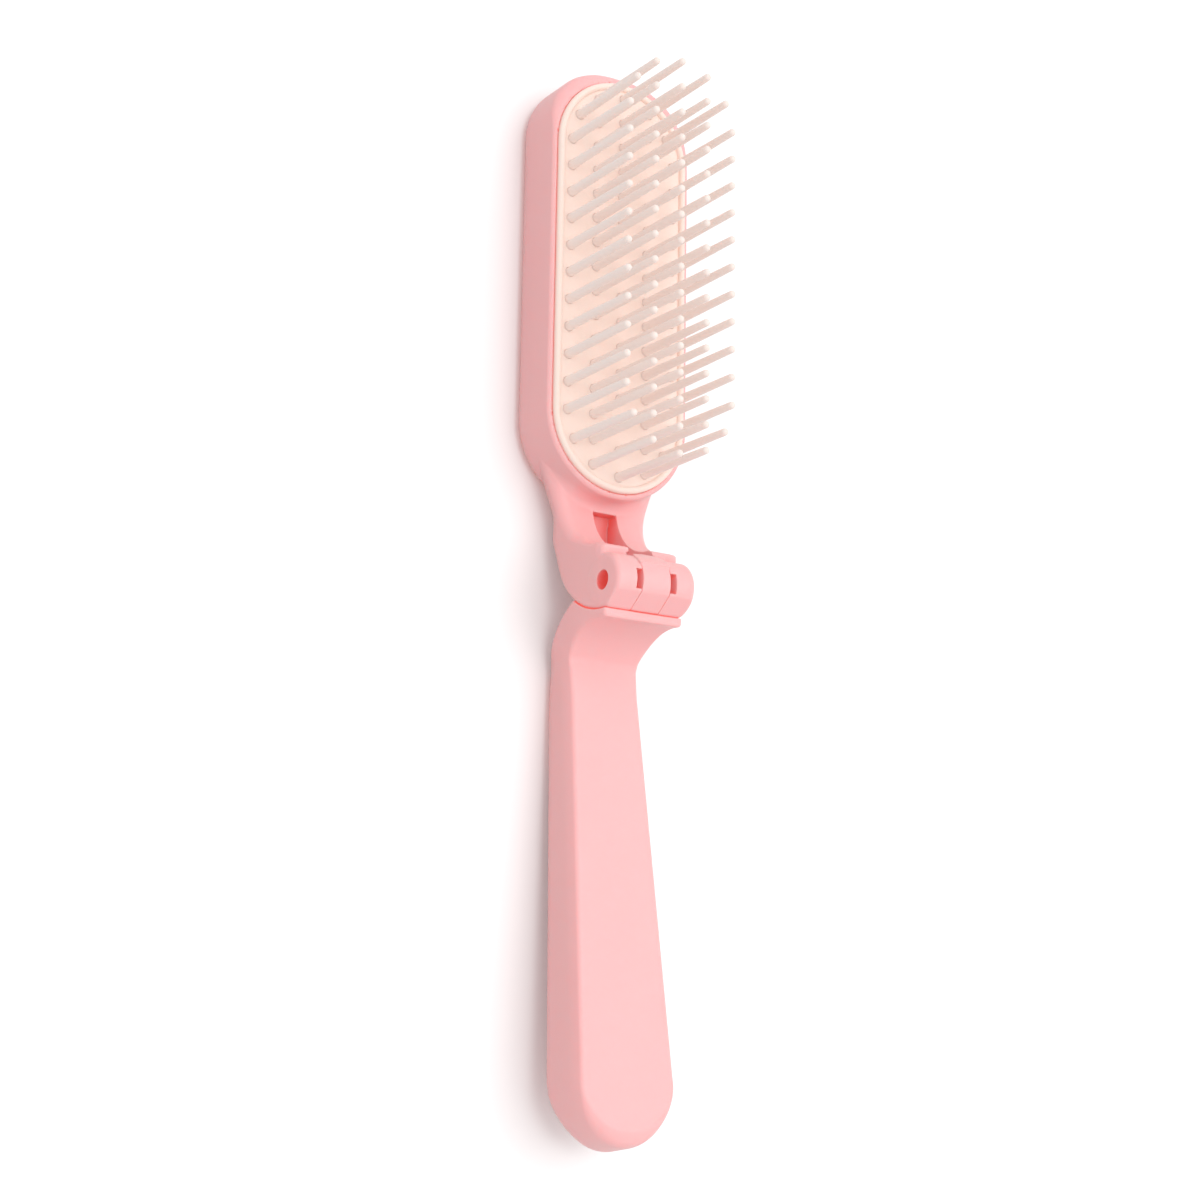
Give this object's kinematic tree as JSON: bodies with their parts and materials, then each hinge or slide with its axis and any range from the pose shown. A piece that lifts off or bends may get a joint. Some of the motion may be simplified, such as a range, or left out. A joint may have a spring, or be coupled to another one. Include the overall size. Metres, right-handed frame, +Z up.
{
  "type": "folding hairbrush",
  "caption": "Narrow folding hairbrush with rows of round-tipped nylon pins, hinged to a tapered handle that folds up over the pins.",
  "frame": {"origin": "centre of the open brush's footprint, on the flat surface that it lies on with its pins up", "axes": "+X across the brush along the hinge axis, +Y from the handle towards the head's tip, +Z up along the pins"},
  "size_m": [0.0292, 0.1892, 0.0309],
  "materials": {
    "pink_plastic": "glossy moulded ABS, pale pink",
    "cream_plastic": "satin moulded pad, pinkish cream",
    "nylon": "slightly translucent natural nylon"
  },
  "bodies": {
    "head": {"head_shell": "pink_plastic", "pad": "cream_plastic", "pin_strip_far_left": "nylon", "pin_strip_left": "nylon", "pin_strip_middle": "nylon", "pin_strip_right": "nylon", "pin_strip_far_right": "nylon", "hinge_pin": "pink_plastic"},
    "handle": {"handle_shell": "pink_plastic", "handle_back_cover": "pink_plastic"}
  },
  "joints": [
    {"name": "handle_fold", "type": "hinge", "parent": "head", "child": "handle", "pos_m": [0, -0.00141, 0.0195], "axis": [-1, 0, 0], "range_deg": [0, 172.5]}
  ]
}
